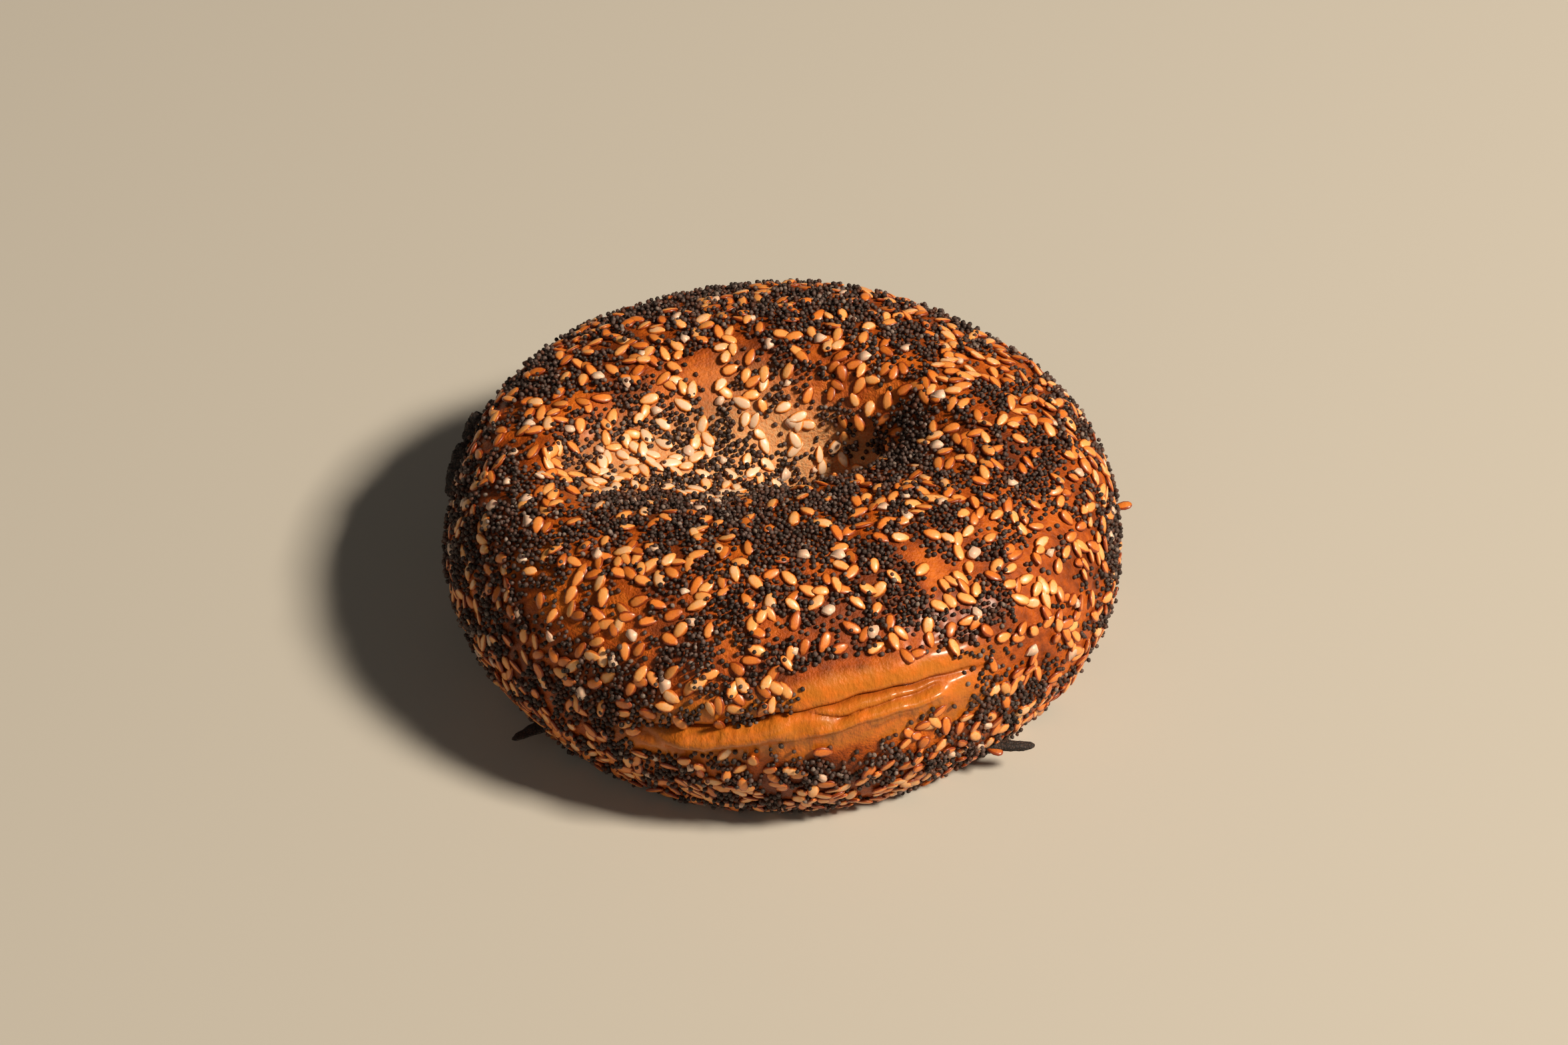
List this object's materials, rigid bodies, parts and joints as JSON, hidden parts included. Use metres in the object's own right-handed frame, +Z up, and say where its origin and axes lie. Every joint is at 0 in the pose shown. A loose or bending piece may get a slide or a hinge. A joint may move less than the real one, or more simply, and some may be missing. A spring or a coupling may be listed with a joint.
{
  "type": "bagel",
  "caption": "Baked bread ring with a small hole, a groove in its top and a fold across its front, covered in sesame and poppy seeds.",
  "frame": {"origin": "middle of the bagel's box at the bottom, on the surface that its sole rests on", "axes": "+Z up from the sole to the top, -Y the front with the fold in the crust, +X to the right of the front, along the bagel's greatest width"},
  "size_m": [0.1112, 0.1024, 0.0404],
  "materials": {
    "crust": "egg-glazed browned crust, orange-brown, paler in the hollow and along the fold, satin to glossy",
    "sesame": "toasted sesame hulls, cream to golden brown, satin",
    "poppy": "blue-black poppy seeds, dull with a pitted surface",
    "onion_bits": "dried garlic or onion bits, whitish pink, translucent looking",
    "charred_onion": "charred onion, almost black, matte and granular"
  },
  "bodies": {
    "root": {"bagel": "crust"}
  },
  "joints": []
}
